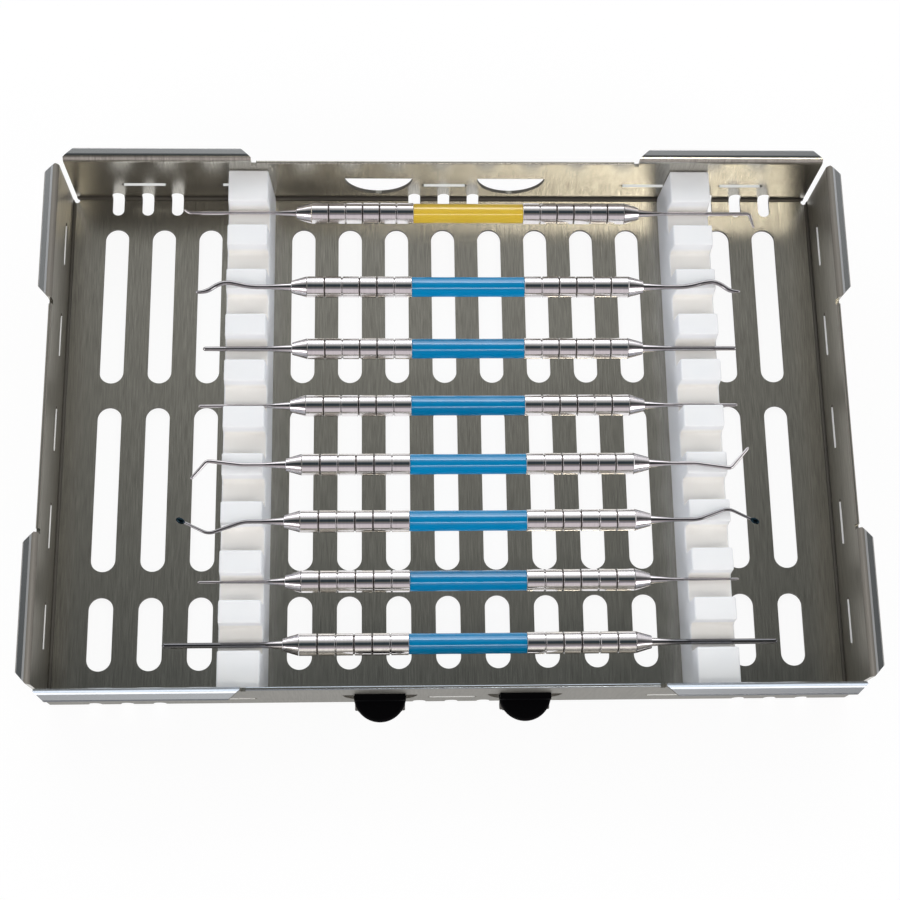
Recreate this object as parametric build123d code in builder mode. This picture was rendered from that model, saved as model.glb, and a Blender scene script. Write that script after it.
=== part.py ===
from build123d import *
import os

# A perforated stainless cassette for double-ended dental hand instruments, with its eight instruments.
# Millimetres. X runs along the instruments, -Y is the front with the two latch tabs, +Z is up.
# The underside of the floor is at z = 0, and the origin is the middle of the whole object's footprint.

# ---------------------------------------------------------------- tray: one folded sheet
sheet = 1.0                    # thickness of the stainless sheet
inner_length = 220.0           # between the side walls, along X
inner_depth = 150.0            # between the front and back walls, along Y
wall_height = 24.0             # underside of the floor to the plain rim
bend_radius = 1.0              # inside radius of the four floor bends
corner_gap = 1.0               # each wall stops this far short of its neighbour's inner face
corner_relief_radius = 0.8     # round relief where two floor bends meet
edge_rounding = 0.35           # on the plain rim and the flanges' outer edges

flange_top = 26.2              # top of the outward flanges on the raised corner sections
flange_reach = 3.75            # from a wall's inner face out to the flange's edge
flange_bend_radius = 1.0       # inside radius of the bend between wall and flange
flange_taper = 3.0             # both ends of a flange are cut back this far at its outer edge
rim_slit = 1.4                 # notch between a raised section and the plain rim
slit_foot = 22.6               # bottom of that notch
long_rim = 108.8               # plain rim left between the slits, front and back walls
short_rim = 64.2               # plain rim left between the slits, side walls

# ---------------------------------------------------------------- tray: perforation
slot_pitch = 13.75             # columns of floor slots, along X
slot_columns = 15
slot_width = 6.9
long_slot = 48.3               # slots of the back and the middle row
short_slot = 20.6              # slots of the front row
row_web = 7.25                 # web between two rows
back_margin = 10.2             # from the back wall to the first row
slot_field_shift = 0.4         # the slot field sits this far left of the middle of the tray

bend_slot_width = 3.5          # short slots that run over the front and back floor bends
bend_slot_spacing = 8.75
back_bend_slot_reach = 5.8     # how far they reach into the floor from the back wall's inner face
front_bend_slot_reach = 2.8    # and from the front wall's
bend_slot_top = 4.1            # how high they reach up the wall
bend_slot_group = 88.0         # distance between the three groups of three

wall_slot_length = 13.3        # thin vent slots in all four walls
wall_slot_height = 1.7
wall_slot_level = 10.0
wall_slot_inner_x = 59.0       # vent slots of the front and back walls, besides the one in the middle
wall_slot_outer_x = 88.0
short_wall_slots = 5
short_wall_slot_spacing = 28.0

window_radius = 10.0           # half-round windows, flat edge up, two in the front and two in the back wall
window_level = 14.4            # height of their flat edge
window_x = 19.4                # distance of each from the middle

# ---------------------------------------------------------------- racks: two toothed white strips
rack_left_column = 4           # slot column that takes the keys, counted from the left
rack_right_column = 13
rack_left_shift = 1.4          # the left strip stands this far left of the middle of its column
rack_right_shift = 2.65        # and the right strip this far right of its own
rack_base_width = 13.5
rack_top_width = 11.3
rack_top = 20.0
rack_end_play = 0.1            # between a strip's end and the wall
key_play = 0.1                 # around a key in its floor slot
end_relief_margin = 0.4        # bevel at a strip's lower ends, beyond the floor bend that it clears
notch_count = 10
notch_pitch = 13.63
notch_width = 7.3
notch_floor = 13.5
notch_corner = 1.0
notch_shift = 0.3              # the row of notches sits this far behind the middle of the tray

# ---------------------------------------------------------------- latches: two hinged half-round tabs
tab_radius = 7.0
tab_thickness = 2.2
tab_drop = 0.2                 # top of a tab below the flat edge of its window
tab_rounding = 0.77            # on the curved edge
tab_rib_height = 2.2           # upright rib that stops the tab against the wall
tab_rib_thickness = 1.6
tab_rib_inset = 0.2            # at both ends of the rib
tab_wall_gap = 0.1
tab_barrel_radius = 2.1
tab_neck_width = 3.6           # between the barrel and the plate
pin_radius = 0.75
pin_head_radius = 1.3
pin_head_length = 0.8
pin_head_rounding = 0.32
pin_play = 0.05                # radial, between the pin and the tab
pin_drop = 1.8                 # the pin's axis below the tab's underside
pin_reach = 2.3                # from the wall's outer face out to the pin
ear_spacing = 10.6             # between the middles of the two ears of a bracket
ear_thickness = 1.2
ear_plate_gap = 0.3            # between an ear and the tab's underside
ear_play = 0.3                 # between an ear and the tab's barrel, along X
weld_plate_height = 2.4
weld_plate_gap = 0.5           # weld plate above the flat edge of the window

# ---------------------------------------------------------------- instruments
handle_radius = 3.0
segment_length = 4.9
segments_per_side = 6
groove_width = 0.5
groove_depth = 0.35
sleeve_length = 31.9
sleeve_radius = 2.8
core_radius = 2.0              # handle under the coloured sleeve
cone_length = 4.5
cone_end_radius = 1.75
shank_root_radius = 1.15
shank_taper = 5.0              # length over which the shank thins down
socket_depth = 9.0             # bore in the handle's end that takes the tip's tang
tang_radius = 1.25
tang_play = 0.02
socket_end_play = 0.3
rest_gap = 0.12                # under a shank that lies in a notch or on a tooth
lean_in = 0.3                  # a shank that lies near the edge of a tooth is this far inside it

# ---------------------------------------------------------------- worked out
tab_reach = inner_depth / 2 + sheet + tab_wall_gap + tab_radius
back_reach = inner_depth / 2 + flange_reach
tray_y = (tab_reach - back_reach) / 2    # middle of the tray, seen from the middle of the footprint
front_face = tray_y - inner_depth / 2    # inner face of the front wall
back_face = tray_y + inner_depth / 2

flange_crest_radius = flange_bend_radius + sheet
flange_crest = flange_top - flange_crest_radius      # a raised section is upright below this height
end_relief = bend_radius + end_relief_margin

tab_top = window_level - tab_drop
pin_level = tab_top - tab_thickness - pin_drop
ear_radius = pin_drop - ear_plate_gap
weld_plate_foot = window_level + weld_plate_gap

handle_length = 2 * segments_per_side * segment_length + sleeve_length

cut_over = 1.0                 # a cutting shape runs this far past what it cuts
pick = 0.01                    # tolerance for picking edges by their height
os.makedirs("parts", exist_ok=True)


def save(builder, name):
    """Label a finished piece and write it as its own STEP file."""
    builder.part.label = name
    export_step(builder.part, f"parts/{name}.step")
    print(f"{name:16s} {builder.part.volume:10.2f} mm3")


def column_x(column):
    """Middle of a slot column, counted from the left."""
    return (column - (slot_columns + 1) / 2) * slot_pitch - slot_field_shift


def notch_y(index):
    """Middle of a rack notch, counted from the back starting at 0."""
    return tray_y + notch_shift + ((notch_count - 1) / 2 - index) * notch_pitch


def wall_section_plane(outward, half_span, along):
    """Plane across a wall, at a distance along it: x points outwards from the inner face and y up."""
    direction = outward.cross(Vector(0, 0, 1))
    origin = Vector(0, tray_y, 0) + outward * half_span + direction * along
    return Plane(origin=origin, x_dir=outward, z_dir=direction)


def wall_face_plane(outward, half_span):
    """Plane on a wall's inner face: x runs along the wall, y points up and z points outwards."""
    direction = Vector(0, 0, 1).cross(outward)
    origin = Vector(0, tray_y, 0) + outward * half_span
    return Plane(origin=origin, x_dir=direction, z_dir=outward)


def flange_plan_plane(outward, half_span, along):
    """Level plane under the flanges: x runs along a wall from a point on it, y points outwards."""
    direction = outward.cross(Vector(0, 0, 1))
    origin = Vector(0, tray_y, flange_crest) + outward * half_span + direction * along
    return Plane(origin=origin, x_dir=direction, z_dir=(0, 0, 1))


# Each wall: outward direction, half distance between the inner faces, half length of the wall
# itself, and half length of its plain rim.
back_wall = (Vector(0, 1, 0), inner_depth / 2, inner_length / 2 - corner_gap, long_rim / 2)
front_wall = (Vector(0, -1, 0), inner_depth / 2, inner_length / 2 - corner_gap, long_rim / 2)
left_wall = (Vector(-1, 0, 0), inner_length / 2, inner_depth / 2 - corner_gap, short_rim / 2)
right_wall = (Vector(1, 0, 0), inner_length / 2, inner_depth / 2 - corner_gap, short_rim / 2)

row_lengths = (long_slot, long_slot, short_slot)
row_middles = []
row_edge = back_face - back_margin
for row_length in row_lengths:
    row_middles.append(row_edge - row_length / 2)
    row_edge = row_edge - row_length - row_web

# ---------------------------------------------------------------- tray
with BuildPart() as tray:
    with BuildSketch(Plane((0, tray_y, 0))):
        Rectangle(inner_length + 2 * sheet, inner_depth + 2 * sheet)
    extrude(amount=wall_height)
    fillet(tray.edges().group_by(Axis.Z)[0], bend_radius + sheet)
    with BuildSketch(Plane((0, tray_y, sheet))):
        Rectangle(inner_length, inner_depth)
    extrude(amount=wall_height, mode=Mode.SUBTRACT)
    floor_edges = tray.edges().filter_by_position(Axis.Z, sheet - pick, sheet + pick)
    fillet(floor_edges.filter_by(GeomType.LINE), bend_radius)
    rim_edges = tray.edges().filter_by_position(Axis.Z, wall_height - pick, wall_height + pick)
    fillet(rim_edges, edge_rounding)

    # Raised corner sections: the wall goes on upwards and folds outwards into a flat flange, whose
    # two ends are cut back at a slant.
    for outward, half_span, half_wall, half_rim in (back_wall, front_wall, left_wall, right_wall):
        section_length = half_wall - half_rim - rim_slit
        for start in (half_rim, -half_wall):
            with BuildSketch(wall_section_plane(outward, half_span, start)):
                with Locations((-cut_over, slit_foot)):
                    Rectangle(sheet + 2 * cut_over, wall_height - slit_foot + cut_over,
                              align=(Align.MIN, Align.MIN))
            extrude(amount=half_wall - half_rim, mode=Mode.SUBTRACT)
        for start in (half_rim + rim_slit, -half_wall):
            with BuildSketch(wall_section_plane(outward, half_span, start)) as flange:
                with BuildLine():
                    foot = Line((sheet, slit_foot), (0, slit_foot))
                    upright = Line(foot @ 1, (0, flange_crest))
                    crest = JernArc(upright @ 1, (0, 1), flange_crest_radius, -90)
                    flat = Line(crest @ 1, (flange_reach, flange_top))
                    edge = Line(flat @ 1, (flange_reach, flange_top - sheet))
                    under = Line(edge @ 1, (flange_crest_radius, flange_top - sheet))
                    JernArc(under @ 1, (-1, 0), flange_bend_radius, 90)
                    Line((sheet, flange_crest), foot @ 0)
                make_face()
                fillet(flange.vertices().sort_by(Axis.X)[-2:], edge_rounding)
            extrude(amount=section_length)
            for end, inwards in ((start, 1), (start + section_length, -1)):
                with BuildSketch(flange_plan_plane(outward, half_span, end)):
                    with BuildLine():
                        Polyline((-inwards * cut_over, sheet), (0, sheet),
                                 (inwards * flange_taper, flange_reach),
                                 (inwards * flange_taper, flange_reach + cut_over),
                                 (-inwards * cut_over, flange_reach + cut_over), close=True)
                    make_face()
                extrude(amount=flange_top - flange_crest, mode=Mode.SUBTRACT)

    # Open corners between neighbouring walls, with a round relief in the floor.
    with BuildSketch(Plane((0, tray_y, 0))):
        with GridLocations(inner_length + 2 * sheet, inner_depth + 2 * sheet, 2, 2):
            Rectangle(2 * (corner_gap + sheet), 2 * (corner_gap + sheet))
    extrude(amount=wall_height + cut_over, mode=Mode.SUBTRACT)
    with BuildSketch(Plane((0, tray_y, 0))):
        with GridLocations(inner_length - 2 * corner_gap, inner_depth - 2 * corner_gap, 2, 2):
            Circle(corner_relief_radius)
    extrude(amount=sheet + bend_radius, mode=Mode.SUBTRACT)

    # Floor slots.
    with BuildSketch():
        for row_length, row_middle in zip(row_lengths, row_middles):
            with Locations((-slot_field_shift, row_middle)):
                with GridLocations(slot_pitch, 0, slot_columns, 1):
                    SlotOverall(row_length, slot_width, rotation=90)
    extrude(amount=sheet, mode=Mode.SUBTRACT)

    # Slots over the front and back floor bends.
    for wall, slot_reach in ((back_wall, back_bend_slot_reach), (front_wall, front_bend_slot_reach)):
        outward, half_span = wall[0], wall[1]
        wall_face = wall_face_plane(outward, half_span)
        centres = []
        for group in (-1, 0, 1):
            for place in (-1, 0, 1):
                centres.append(group * bend_slot_group + place * bend_slot_spacing)
        floor_reach = slot_reach + sheet + cut_over
        floor_middle = tray_y + outward.Y * (half_span + sheet + cut_over)
        with BuildSketch():
            with Locations(*[(x, floor_middle) for x in centres]):
                SlotOverall(2 * floor_reach, bend_slot_width, rotation=90)
        extrude(amount=sheet + bend_radius, mode=Mode.SUBTRACT)
        with BuildSketch(wall_face):
            with Locations(*[(x, 0) for x in centres]):
                SlotOverall(2 * bend_slot_top, bend_slot_width, rotation=90)
        extrude(amount=sheet + cut_over, mode=Mode.SUBTRACT)

    # Thin vent slots and half-round windows in the walls.
    for outward, half_span, half_wall, half_rim in (back_wall, front_wall):
        with BuildSketch(wall_face_plane(outward, half_span)):
            with Locations((0, wall_slot_level)):
                SlotOverall(wall_slot_length, wall_slot_height)
            for side in (-1, 1):
                with Locations((side * wall_slot_inner_x, wall_slot_level),
                               (side * wall_slot_outer_x, wall_slot_level)):
                    SlotOverall(wall_slot_length, wall_slot_height)
                with BuildLine():
                    flat = Line((side * window_x - window_radius, window_level),
                                (side * window_x + window_radius, window_level))
                    ThreePointArc(flat @ 1, (side * window_x, window_level - window_radius), flat @ 0)
                make_face()
        extrude(amount=sheet, mode=Mode.SUBTRACT)
    for outward, half_span, half_wall, half_rim in (left_wall, right_wall):
        with BuildSketch(wall_face_plane(outward, half_span)):
            with Locations((0, wall_slot_level)):
                with GridLocations(short_wall_slot_spacing, 0, short_wall_slots, 1):
                    SlotOverall(wall_slot_length, wall_slot_height)
        extrude(amount=sheet, mode=Mode.SUBTRACT)
save(tray, "tray")

# ---------------------------------------------------------------- racks
racks = (
    ("rack_left", column_x(rack_left_column), -rack_left_shift),
    ("rack_right", column_x(rack_right_column), rack_right_shift),
)
for rack_name, key_x, rack_shift in racks:
    rack_x = key_x + rack_shift
    rack_length = inner_depth - 2 * rack_end_play
    rack_end = Plane(origin=(rack_x, back_face - rack_end_play, sheet), x_dir=(1, 0, 0), z_dir=(0, -1, 0))
    rack_side = Plane(origin=(rack_x - rack_base_width / 2, 0, 0), x_dir=(0, 1, 0), z_dir=(1, 0, 0))
    with BuildPart() as rack:
        with BuildSketch(rack_end):
            with BuildLine():
                Polyline((-rack_base_width / 2, 0), (rack_base_width / 2, 0),
                         (rack_top_width / 2, rack_top - sheet), (-rack_top_width / 2, rack_top - sheet),
                         close=True)
            make_face()
        extrude(amount=rack_length)
        end_edges = rack.edges().filter_by(Axis.X).group_by(Axis.Z)[0]
        chamfer(end_edges, end_relief)
        with BuildSketch(rack_side):
            for index in range(notch_count):
                with Locations((notch_y(index), notch_floor)):
                    Rectangle(notch_width, rack_top - notch_floor + cut_over,
                              align=(Align.CENTER, Align.MIN))
        extrude(amount=rack_base_width, mode=Mode.SUBTRACT)
        notch_corners = rack.edges().filter_by(Axis.X).filter_by_position(
            Axis.Z, notch_floor - pick, notch_floor + pick)
        fillet(notch_corners, notch_corner)
        with BuildSketch():
            for row_length, row_middle in zip(row_lengths, row_middles):
                with Locations((key_x, row_middle)):
                    SlotOverall(row_length - 2 * key_play, slot_width - 2 * key_play, rotation=90)
        extrude(amount=sheet)
    save(rack, rack_name)

# ---------------------------------------------------------------- latches
pin_y = front_face - sheet - pin_reach
tab_edge = front_face - sheet - tab_wall_gap       # straight rear edge of a tab
barrel_length = ear_spacing - ear_thickness - 2 * ear_play
for side, latch_name in ((-1, "left"), (1, "right")):
    latch_x = side * window_x
    pin_plane = Plane(origin=(latch_x, pin_y, pin_level), x_dir=(0, 1, 0), z_dir=(1, 0, 0))
    with BuildPart() as tab:
        with BuildSketch(Plane((latch_x, tab_edge, tab_top - tab_thickness))):
            with BuildLine():
                rear = Line((tab_radius, 0), (-tab_radius, 0))
                ThreePointArc(rear @ 1, (0, -tab_radius), rear @ 0)
            make_face()
        extrude(amount=tab_thickness)
        fillet(tab.edges().filter_by(GeomType.CIRCLE), tab_rounding)
        with BuildSketch(Plane((latch_x, tab_edge - tab_rib_thickness / 2, tab_top - tab_thickness))):
            Rectangle(2 * (tab_radius - tab_rib_inset), tab_rib_thickness)
        extrude(amount=tab_thickness + tab_rib_height)
        with BuildSketch(pin_plane):
            Circle(tab_barrel_radius)
            Rectangle(tab_neck_width, pin_drop + tab_thickness / 2, align=(Align.CENTER, Align.MIN))
        extrude(amount=barrel_length / 2, both=True)
        with BuildSketch(pin_plane):
            Circle(pin_radius + pin_play)
        extrude(amount=tab_radius, both=True, mode=Mode.SUBTRACT)
    save(tab, f"latch_tab_{latch_name}")

    with BuildPart() as bracket:
        with BuildSketch(Plane((latch_x, front_face + sheet / 2, weld_plate_foot))):
            Rectangle(ear_spacing + ear_thickness, sheet)
        extrude(amount=weld_plate_height)
        for ear_side in (-1, 1):
            ear_x = latch_x + ear_side * ear_spacing / 2 - ear_thickness / 2
            with BuildSketch(Plane(origin=(ear_x, 0, 0), x_dir=(0, 1, 0), z_dir=(1, 0, 0))):
                with BuildLine():
                    arm_low = pin_level - ear_radius
                    arm_high = pin_level + ear_radius
                    plate_top = weld_plate_foot + weld_plate_height
                    under_arm = Line((pin_y, arm_low), (front_face + sheet, arm_low))
                    heel = Line(under_arm @ 1, (front_face + sheet, plate_top))
                    crown = Line(heel @ 1, (front_face, plate_top))
                    seat = Line(crown @ 1, (front_face, arm_high))
                    arm = Line(seat @ 1, (pin_y, arm_high))
                    ThreePointArc(arm @ 1, (pin_y - ear_radius, pin_level), under_arm @ 0)
                make_face()
            extrude(amount=ear_thickness)
        with BuildSketch(pin_plane):
            Circle(pin_radius)
        extrude(amount=tab_radius, both=True, mode=Mode.SUBTRACT)
    save(bracket, f"latch_bracket_{latch_name}")

    with BuildPart() as pin:
        with BuildSketch(pin_plane.offset(-ear_spacing / 2 - ear_thickness / 2)):
            Circle(pin_radius)
        extrude(amount=ear_spacing + ear_thickness)
        for head_side in (-1, 1):
            head_plane = pin_plane.offset(head_side * (ear_spacing / 2 + ear_thickness / 2))
            with BuildSketch(head_plane):
                Circle(pin_head_radius)
            extrude(amount=head_side * pin_head_length)
        fillet(pin.edges().group_by(Axis.X)[0], pin_head_rounding)
        fillet(pin.edges().group_by(Axis.X)[-1], pin_head_rounding)
    save(pin, f"latch_pin_{latch_name}")

# ---------------------------------------------------------------- instruments
# Each instrument: its place across the tray, how far its handle lies left of the middle between the
# racks, the height it rests at, the shank's radius, the bend radius of its working ends, the two
# ends, and the radius of the round bead at their tips, 0 for none. An end is a list of points:
# outwards from the cone, and across the tray.
rack_left_x = column_x(rack_left_column) - rack_left_shift
rack_right_x = column_x(rack_right_column) + rack_right_shift
rack_middle_x = (rack_left_x + rack_right_x) / 2
tooth_edge = (notch_pitch - notch_width) / 2       # from the middle of a tooth to its notch


def tooth_y(index):
    """Middle of the tooth in front of a notch."""
    return notch_y(index) - notch_pitch / 2


instruments = (
    (notch_y(0) + 2.4, 0.5, notch_floor, 0.55, 1.2,
     ((0, 0), (30.7, 0), (32.4, 0.8)), ((0, 0), (32.4, 0), (33.8, -4.8)), 0),
    (tooth_y(1) - tooth_edge + lean_in, 1.3, rack_top, 0.65, 4.0,
     ((0, 0), (11.9, 0), (17.4, 1.5), (19.9, 1.5), (24.4, -2.1), (26.9, -1.5)),
     ((0, 0), (12.5, 0), (19.0, 1.8), (21.6, 1.7), (25.4, -2.0), (27.8, -1.2)), 0),
    (notch_y(3) + 1.4, 1.3, notch_floor, 0.75, 1.2, ((0, 0), (25.0, 0)), ((0, 0), (27.1, 0)), 0),
    (notch_y(4) - 1.9, 1.6, notch_floor, 0.5, 1.2, ((0, 0), (25.7, 0)), ((0, 0), (26.6, 0)), 0),
    (tooth_y(5) - 0.5, 2.2, rack_top, 0.5, 1.2,
     ((0, 0), (11.9, 0), (21.4, 1.2), (25.7, -4.0)), ((0, 0), (12.8, 0), (22.7, -1.4), (28.1, 4.6)), 0),
    (tooth_y(6) - tooth_edge + lean_in, 2.5, rack_top, 0.55, 3.0,
     ((0, 0), (11.0, 0), (20.2, -3.3), (28.4, 0.7)), ((0, 0), (13.1, 0), (21.5, 3.1), (29.1, -0.7)), 0.85),
    (notch_y(8) + 2.4, 2.4, notch_floor, 0.45, 1.2, ((0, 0), (23.7, 0)), ((0, 0), (24.6, 0)), 0),
    (notch_y(9) - 1.3, 2.8, notch_floor, 0.75, 1.2, ((0, 0), (32.2, 0)), ((0, 0), (34.4, 0)), 0),
)

for number, instrument in enumerate(instruments, start=1):
    axis_y, left_shift, support, shank_radius, bend, left_end, right_end, bead_radius = instrument
    axis_z = support + shank_radius + rest_gap
    middle = Vector(rack_middle_x - left_shift, axis_y, axis_z)
    handle_axis = Axis(middle, (1, 0, 0))
    handle_plane = Plane(origin=middle, x_dir=(1, 0, 0), z_dir=(0, -1, 0))
    half = handle_length / 2
    socket_radius = tang_radius + tang_play

    with BuildPart() as handle:
        with BuildSketch(handle_plane):
            with BuildLine():
                outline = [(-half, socket_radius), (-half, handle_radius)]
                for step in range(1, segments_per_side):
                    groove = -half + step * segment_length
                    outline.append((groove - groove_width / 2, handle_radius))
                    outline.append((groove - groove_width / 2, handle_radius - groove_depth))
                    outline.append((groove + groove_width / 2, handle_radius - groove_depth))
                    outline.append((groove + groove_width / 2, handle_radius))
                outline.append((-sleeve_length / 2, handle_radius))
                outline.append((-sleeve_length / 2, core_radius))
                mirrored = [(-x, r) for x, r in reversed(outline)]
                inside = [(half - socket_depth, socket_radius), (half - socket_depth, 0),
                          (-half + socket_depth, 0), (-half + socket_depth, socket_radius)]
                Polyline(*outline, *mirrored, *inside, close=True)
            make_face()
        revolve(axis=handle_axis)
    save(handle, f"handle_{number}")

    with BuildPart() as sleeve:
        with BuildSketch(handle_plane):
            with Locations((0, (core_radius + sleeve_radius) / 2)):
                Rectangle(sleeve_length, sleeve_radius - core_radius)
        revolve(axis=handle_axis)
    save(sleeve, f"sleeve_{number}")

    for way, end_name, route in ((-1, "left", left_end), (1, "right", right_end)):
        shoulder = middle + Vector(way * half, 0, 0)
        root = shoulder + Vector(way * cone_length, 0, 0)
        tip_plane = Plane(origin=shoulder, x_dir=(way, 0, 0), z_dir=(0, -way, 0))
        route_plane = Plane(origin=root, x_dir=(way, 0, 0), z_dir=(0, 0, way))
        with BuildPart() as tip:
            with BuildSketch(tip_plane):
                with BuildLine():
                    tang_end = -socket_depth + socket_end_play
                    taper_end = cone_length + shank_taper
                    Polyline((tang_end, 0), (tang_end, tang_radius), (0, tang_radius), (0, handle_radius),
                             (cone_length, cone_end_radius), (cone_length, shank_root_radius),
                             (taper_end, shank_radius), (taper_end, 0), close=True)
                make_face()
            revolve(axis=handle_axis)
            with BuildLine(route_plane) as shank:
                if len(route) > 2:
                    FilletPolyline(*route, radius=bend)
                else:
                    Line(*route)
            with BuildSketch(Plane(origin=shank.line @ 0, z_dir=shank.line % 0)):
                Circle(shank_radius)
            sweep(path=shank.line)
            if bead_radius > 0:
                with Locations(Plane(origin=shank.line @ 1, z_dir=shank.line % 1)):
                    Sphere(bead_radius)
        save(tip, f"tip_{end_name}_{number}")
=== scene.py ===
import math

import bmesh
import bpy
import numpy as np
from mathutils import Euler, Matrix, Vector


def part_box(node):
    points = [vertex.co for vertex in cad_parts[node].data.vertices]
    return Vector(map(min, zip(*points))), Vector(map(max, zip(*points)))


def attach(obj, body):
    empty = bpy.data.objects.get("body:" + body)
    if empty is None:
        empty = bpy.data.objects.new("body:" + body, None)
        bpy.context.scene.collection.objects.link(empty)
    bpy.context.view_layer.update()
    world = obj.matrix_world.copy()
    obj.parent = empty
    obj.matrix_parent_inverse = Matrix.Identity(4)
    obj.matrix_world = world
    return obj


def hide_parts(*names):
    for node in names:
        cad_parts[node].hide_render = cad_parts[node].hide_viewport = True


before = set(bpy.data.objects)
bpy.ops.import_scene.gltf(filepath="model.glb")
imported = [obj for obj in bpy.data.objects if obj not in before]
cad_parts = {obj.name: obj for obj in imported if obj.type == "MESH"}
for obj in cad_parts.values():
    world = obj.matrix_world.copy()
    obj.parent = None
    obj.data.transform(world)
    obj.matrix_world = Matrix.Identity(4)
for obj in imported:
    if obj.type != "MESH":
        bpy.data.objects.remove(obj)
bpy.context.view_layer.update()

# A perforated steel cassette for dental hand instruments. Metres, in the frame of the CAD model:
# X along the instruments, -Y the front with the two latch tabs, +Z up, floor underside at z = 0.

# ---------------------------------------------------------------- stage, light and camera
# A white paper table in a pale room, brighter behind the object than in front. A dark ceiling
# hangs overhead, and the satin tray mirrors it. Soft panels stand behind and on both sides, and
# two strip lamps hang in front.
mm = 0.001
table_size = 6.0
table_drop = 0.05 * mm              # keeps the table just clear of the tray's underside
table_colour = "#f7f7f7"
table_glow = 1.04                   # strength of the white that the eye and the mirrors see
shadow_share = 0.12                 # how much of the table's look is its real, shaded colour
room_tones = ("#d3cccf", "#f5f6f8")             # before the object, and behind it
room_blend = 0.3                    # the tones meet in directions whose y is within this of 0
lowest_rise = 0.05                  # a direction's z counts as at least this in its slopes
ceiling_half_width = 1.00           # of the dark ceiling, as a slope x/z from straight up
ceiling_softness = 0.12
ceiling_reach = 1.1                 # half of the ceiling's length, as a slope y/z
ceiling_tones = (                   # slope y/z from straight up, and the ceiling's colour there
    (-1.05, "#d3cccf"), (-0.92, "#8a868b"), (-0.62, "#86838a"), (-0.52, "#757269"),
    (-0.42, "#605e59"), (-0.32, "#3a4145"), (-0.16, "#2c363b"), (0.08, "#333d42"),
    (0.16, "#6f7375"), (0.25, "#8c8e8c"), (0.36, "#a1a29f"), (0.46, "#a8a8a4"),
    (0.54, "#c8c9c8"), (0.66, "#f5f6f8"),
)
side_reach = 0.6                    # beyond this slope x/z, the outermost level below holds
side_levels = (                     # slope x/z from straight up, and the ceiling's level there
    (-0.60, 0.88), (-0.45, 0.84), (-0.30, 0.52), (-0.21, 0.68), (-0.13, 1.0),
    (0.15, 1.0), (0.21, 0.92), (0.29, 0.52), (0.45, 0.42), (0.60, 0.42),
)
panels = (                          # name, place, size, radiance and colour
    ("back_panel", (0.0, 1.00, 0.60), (1.6, 0.50), 1.8, "#fbfcff"),
    ("left_panel", (-1.05, -0.60, 0.42), (1.0, 0.7), 2.8, "#ffffff"),
    ("right_panel", (1.05, -0.60, 0.42), (1.0, 0.7), 2.8, "#ffffff"),
)
front_strips = (                    # the same; they light the tray and the racks alone
    ("front_strip", (0.27, -0.58, 1.20), (0.40, 0.20), 14.0, "#f9f3e7"),
    ("front_strip_end", (0.03, -0.58, 1.20), (0.08, 0.20), 3.0, "#f9f3e7"),
)
camera_place = (-18.464 * mm, -140.710 * mm, 464.494 * mm)
camera_turn = (math.radians(16.714), math.radians(-2.130), math.radians(-0.847))
camera_lens = 67.506                # mm, on a sensor 36 mm wide
camera_sensor = 36.0
camera_near = 0.01
white = (1.0, 1.0, 1.0, 1.0)

scene = bpy.context.scene


def linear(hex_colour):
    """sRGB hex to linear RGBA: c / 12.92 up to 0.04045, above it ((c + 0.055) / 1.055) ** 2.4."""
    values = [int(hex_colour[i:i + 2], 16) / 255 for i in (1, 3, 5)]
    curve = [c / 12.92 if c <= 0.04045 else ((c + 0.055) / 1.055) ** 2.4 for c in values]
    return (*curve, 1.0)


def add_node(tree, kind, settings, inputs):
    """Add one shader node, set its settings, and give each listed input its value or its link."""
    node = tree.nodes.new("ShaderNode" + kind)
    for name, value in settings.items():
        setattr(node, name, value)
    for name, value in inputs.items():
        if isinstance(value, bpy.types.NodeSocket):
            tree.links.new(value, node.inputs[name])
        else:
            node.inputs[name].default_value = value
    return node


world = bpy.data.worlds.new("pale_room")
world.use_nodes = True
scene.world = world
sky = world.node_tree
sky.nodes.clear()
direction = add_node(sky, "TexCoord", {}, {})
ways = add_node(sky, "SeparateXYZ", {}, {0: direction.outputs["Generated"]})
rise = add_node(sky, "Math", {"operation": "MAXIMUM"}, {0: ways.outputs[2], 1: lowest_rise})
slope_x, slope_y = [
    add_node(sky, "Math", {"operation": "DIVIDE"}, {0: ways.outputs[axis], 1: rise.outputs[0]})
    for axis in (0, 1)]
across, along = [
    add_node(sky, "Math", {"operation": "ABSOLUTE"}, {0: slope.outputs[0]})
    for slope in (slope_x, slope_y)]
tone_stops = [(slope, linear(tone)) for slope, tone in ceiling_tones]
level_stops = [(slope, (level, level, level, 1.0)) for slope, level in side_levels]
ramps = []
for slope, reach, stops in ((slope_y, ceiling_reach, tone_stops),
                            (slope_x, side_reach, level_stops)):
    part_way = add_node(sky, "MapRange", {},
                        {"Value": slope.outputs[0], "From Min": -reach, "From Max": reach})
    ramps.append(add_node(sky, "ValToRGB", {}, {0: part_way.outputs[0]}))
    marks = ramps[-1].color_ramp.elements
    marks.remove(marks[1])
    for number, (stop_slope, stop_colour) in enumerate(stops):
        mark = marks[0] if number == 0 else marks.new(1.0)
        mark.position = (stop_slope / reach + 1) / 2
        mark.color = stop_colour
ceiling = add_node(sky, "VectorMath", {"operation": "SCALE"},
                   {0: ramps[0].outputs[0], "Scale": ramps[1].outputs[0]})
depth = add_node(sky, "MapRange", {"interpolation_type": "SMOOTHSTEP"},
                 {"Value": ways.outputs[1], "From Min": -room_blend, "From Max": room_blend})
room = add_node(sky, "Mix", {"data_type": "RGBA"},
                {"Factor": depth.outputs[0], 6: linear(room_tones[0]), 7: linear(room_tones[1])})
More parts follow.
